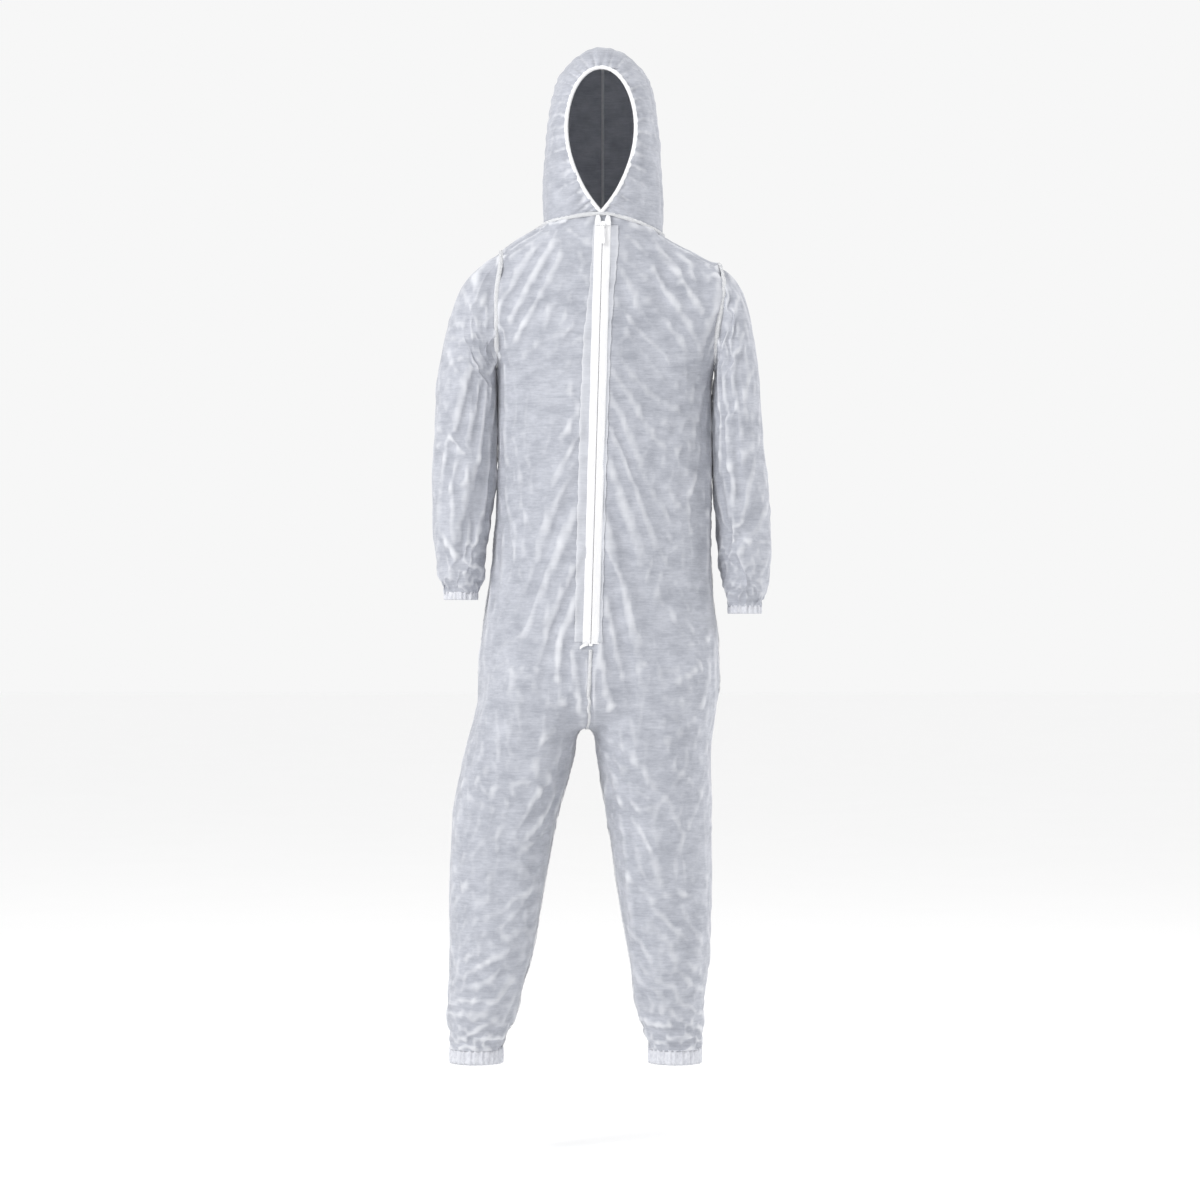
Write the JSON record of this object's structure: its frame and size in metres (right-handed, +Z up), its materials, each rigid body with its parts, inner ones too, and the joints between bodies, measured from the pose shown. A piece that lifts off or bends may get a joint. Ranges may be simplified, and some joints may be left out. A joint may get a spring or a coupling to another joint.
{
  "type": "chemical protective suit",
  "caption": "Hooded one-piece protective coverall of thin white nonwoven cloth, with a front zip and elastic at the face, wrists and ankles.",
  "frame": {"origin": "middle of the neck seam, where the wearer carries the suit", "axes": "+Z up; the front of the suit and its zip face -Y; the wearer's left is +X"},
  "size_m": [0.5698, 0.2637, 1.7187],
  "materials": {
    "cloth": "thin white spunbonded nonwoven, matt, cloudy and slightly translucent",
    "seam": "overlocked white thread over doubled nonwoven",
    "hem": "rolled and gathered nonwoven, matt white",
    "elastic": "white braided elastic",
    "zip_tape": "tight woven white polyester tape",
    "zip_coil": "white nylon coil",
    "zip_slider": "white lacquered slider"
  },
  "bodies": {
    "torso": {"front_panel_right": "cloth", "front_panel_left": "cloth", "back_panel_right": "cloth", "back_panel_left": "cloth", "shoulder_seam_right": "seam", "shoulder_seam_left": "seam", "side_seam_right": "seam", "side_seam_left": "seam", "armhole_seam_right": "seam", "armhole_seam_left": "seam", "centre_back_seam": "seam", "front_seam": "seam", "crotch_seam": "seam", "zip_tape_right": "zip_tape", "zip_tape_left": "zip_tape", "zip_coil_right": "zip_coil", "zip_coil_left": "zip_coil", "zip_top_folds": "zip_tape", "zip_bottom_stop": "zip_coil"},
    "slider": {"zip_slider": "zip_slider"},
    "pull": {"zip_pull": "zip_slider"},
    "hood": {"hood_panel_right": "cloth", "hood_panel_left": "cloth", "hood_crown_seam": "seam", "hood_face_hem": "hem", "hood_elastic": "elastic"},
    "upper_sleeve_right": {"sleeve_upper_right": "cloth"},
    "lower_sleeve_right": {"sleeve_lower_right": "cloth", "wrist_hem_right": "hem", "wrist_elastic_right": "elastic"},
    "thigh_right": {"leg_upper_right": "cloth", "thigh_inseam_right": "seam"},
    "shin_right": {"leg_lower_right": "cloth", "ankle_hem_right": "hem", "ankle_elastic_right": "elastic", "shin_inseam_right": "seam"},
    "upper_sleeve_left": {"sleeve_upper_left": "cloth"},
    "lower_sleeve_left": {"sleeve_lower_left": "cloth", "wrist_hem_left": "hem", "wrist_elastic_left": "elastic"},
    "thigh_left": {"leg_upper_left": "cloth", "thigh_inseam_left": "seam"},
    "shin_left": {"leg_lower_left": "cloth", "ankle_hem_left": "hem", "ankle_elastic_left": "elastic", "shin_inseam_left": "seam"}
  },
  "joints": [
    {"name": "zip_slide", "type": "slide", "parent": "torso", "child": "slider", "axis": [-0.0282, -0.0423, -0.9987], "range_m": [0, 0.665]},
    {"name": "pull_swing", "type": "hinge", "parent": "slider", "child": "pull", "pos_m": [-0.00227, -0.10362, -0.0097], "axis": [-0.9996, 0, 0.0282], "range_deg": [0, 160]},
    {"name": "hood_tilt", "type": "hinge", "parent": "torso", "child": "hood", "pos_m": [-0.002, 0, 0.002], "axis": [-1, 0, 0], "range_deg": [0, 25]},
    {"name": "shoulder_right", "type": "hinge", "parent": "torso", "child": "upper_sleeve_right", "pos_m": [-0.2, 0, -0.114], "axis": [0, 1, 0], "range_deg": [0, 50]},
    {"name": "elbow_right", "type": "hinge", "parent": "upper_sleeve_right", "child": "lower_sleeve_right", "pos_m": [-0.235, 0.006, -0.372], "axis": [-1, 0, 0], "range_deg": [0, 60]},
    {"name": "shoulder_left", "type": "hinge", "parent": "torso", "child": "upper_sleeve_left", "pos_m": [0.188, 0, -0.13], "axis": [0, -1, 0], "range_deg": [0, 50]},
    {"name": "elbow_left", "type": "hinge", "parent": "upper_sleeve_left", "child": "lower_sleeve_left", "pos_m": [0.228, 0.006, -0.385], "axis": [-1, 0, 0], "range_deg": [0, 60]},
    {"name": "hip_right", "type": "hinge", "parent": "torso", "child": "thigh_right", "pos_m": [-0.1275, 0, -0.8], "axis": [-1, 0, 0], "range_deg": [0, 35]},
    {"name": "knee_right", "type": "hinge", "parent": "thigh_right", "child": "shin_right", "pos_m": [-0.179, 0, -1.107], "axis": [1, 0, 0], "range_deg": [0, 50]},
    {"name": "hip_left", "type": "hinge", "parent": "torso", "child": "thigh_left", "pos_m": [0.089, 0, -0.8], "axis": [-1, 0, 0], "range_deg": [0, 35]},
    {"name": "knee_left", "type": "hinge", "parent": "thigh_left", "child": "shin_left", "pos_m": [0.102, 0, -1.107], "axis": [1, 0, 0], "range_deg": [0, 50]}
  ]
}
